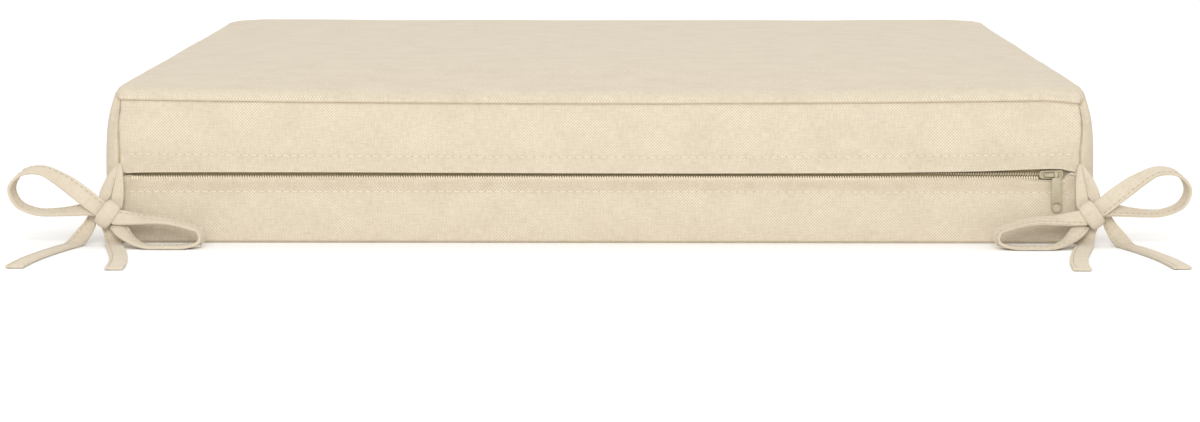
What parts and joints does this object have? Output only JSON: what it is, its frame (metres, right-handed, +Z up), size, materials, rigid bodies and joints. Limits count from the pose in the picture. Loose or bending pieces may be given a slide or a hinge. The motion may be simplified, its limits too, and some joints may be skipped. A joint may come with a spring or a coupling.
{
  "type": "garden chair cushion",
  "caption": "Square boxed garden chair cushion with a softly crowned top, a zip along one side and cloth ties in bows at the corners beside it.",
  "frame": {"origin": "middle of the cushion's flat underside", "axes": "+Z up through the cushion, +X along the zip side, -Y out of the zip side"},
  "size_m": [0.5934, 0.6012, 0.083],
  "materials": {
    "cover_cloth": "matt fine plain weave, cream",
    "tie_cloth": "matt fine plain weave, cream",
    "zip_coil": "matt beige nylon coil",
    "zip_metal": "satin greyish beige paint"
  },
  "bodies": {
    "root": {"cushion": "cover_cloth", "zip_chain": "zip_coil", "zip_slider": "zip_metal", "zip_pull": "zip_metal", "tie_left_outer": "tie_cloth", "tie_left_inner": "tie_cloth", "tie_right_outer": "tie_cloth", "tie_right_inner": "tie_cloth"}
  },
  "joints": []
}
